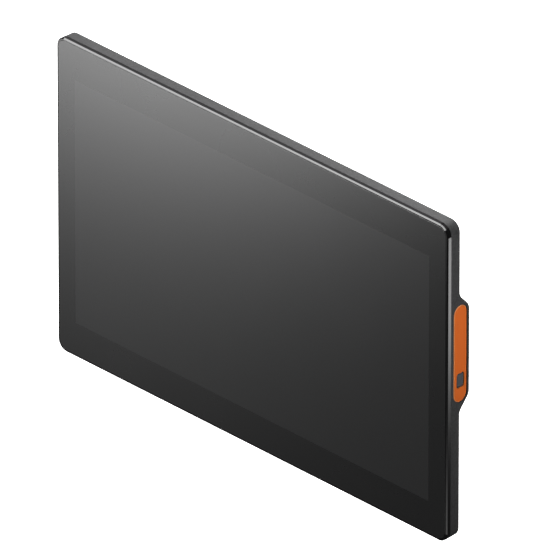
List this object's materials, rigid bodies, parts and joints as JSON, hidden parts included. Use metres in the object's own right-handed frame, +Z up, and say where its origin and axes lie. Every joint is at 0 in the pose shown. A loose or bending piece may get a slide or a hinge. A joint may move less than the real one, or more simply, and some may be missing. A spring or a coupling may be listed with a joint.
{
  "type": "touch panel terminal",
  "caption": "Wide flat touch-screen terminal with a thin rim, a raised rear band with a mount, and a side plate with a power button.",
  "frame": {"origin": "centre of the four rear mounting holes, on the rear mounting face", "axes": "+X to the right seen from the front (screen side), +Y out of the back, +Z up"},
  "size_m": [0.3802, 0.0225, 0.2504],
  "materials": {
    "rim_black": "gloss black moulded plastic",
    "screen_glass": "black-backed cover glass, lightly coated",
    "shell_grey": "dark grey, fine moulded texture",
    "accent_orange": "satin orange paint",
    "key_grey": "satin grey",
    "adhesive": "black foam tape",
    "clear_layer": "clear film",
    "display_dark": "display cell",
    "white_film": "white film",
    "frame_white": "white moulded plastic",
    "steel": "zinc-plated steel",
    "screw_black": "black-coated steel",
    "screw_steel": "nickel-plated steel",
    "board_green": "solder mask",
    "film_amber": "polyimide film",
    "cable_white": "flat cable",
    "chip_black": "moulded package",
    "part_grey": "ferrite and can",
    "pad_grey": "soft thermal pad",
    "aluminium": "extruded",
    "can_metal": "tinned steel",
    "lead_black": "lead jacket",
    "connector_black": "moulded connector",
    "speaker_black": "moulded box",
    "cone": "pressed paper",
    "foam": "closed-cell foam",
    "grille_black": "moulded grille",
    "label_silver": "blank silver label"
  },
  "bodies": {
    "housing": {"front_frame": "rim_black", "cover_glass": "screen_glass", "glass_tape": "adhesive", "touch_sensor": "clear_layer", "optical_adhesive": "clear_layer", "touch_flex": "film_amber", "lcd_cell": "display_dark", "optical_films": "white_film", "light_guide": "clear_layer", "reflector_sheet": "white_film", "led_strip": "cable_white", "lcd_mould_frame": "frame_white", "lcd_back_pan": "steel", "lcd_driver_board": "board_green", "lcd_bond_films": "film_amber", "display_cable": "cable_white", "lcd_tapes": "adhesive", "chassis_plate": "steel", "chassis_screws": "screw_steel", "mount_standoffs": "screw_steel", "board_standoffs": "screw_steel", "main_board": "board_green", "board_screws": "screw_steel", "board_headers": "connector_black", "processor": "chip_black", "memory_chips": "chip_black", "power_parts": "part_grey", "thermal_pad": "pad_grey", "heat_sink": "aluminium", "heat_sink_screws": "screw_steel", "radio_module": "can_metal", "antennas": "film_amber", "antenna_leads": "lead_black", "clock_cell_holder": "connector_black", "clock_cell": "can_metal", "power_inlet": "connector_black", "usb_a_ports": "can_metal", "usb_c_port": "can_metal", "speaker_boxes": "speaker_black", "speaker_drivers": "cone", "speaker_gaskets": "foam", "speaker_leads": "lead_black", "speaker_grilles": "grille_black", "side_plate": "accent_orange", "side_plate_tape": "adhesive", "switch_body": "can_metal", "switch_board": "board_green", "switch_bracket": "steel", "bracket_screws": "screw_steel", "switch_cable": "cable_white", "rear_cover": "shell_grey", "cover_screws": "screw_black", "rating_label": "label_silver"},
    "power_button": {"power_button": "key_grey"},
    "switch_plunger": {"switch_plunger": "connector_black"}
  },
  "joints": [
    {"name": "power_button_press", "type": "slide", "parent": "housing", "child": "power_button", "axis": [-0.9994, -0.0349, 0], "range_m": [0, 0.0006], "stiffness_N_per_m": 2500, "springref_m": -0.0002},
    {"name": "switch_plunger_press", "type": "slide", "parent": "housing", "child": "switch_plunger", "axis": [-0.9994, -0.0349, 0], "range_m": [0, 0.0006]}
  ],
  "couplings": [
    {"joint": "switch_plunger_press", "follows": "power_button_press", "ratio": 1}
  ]
}
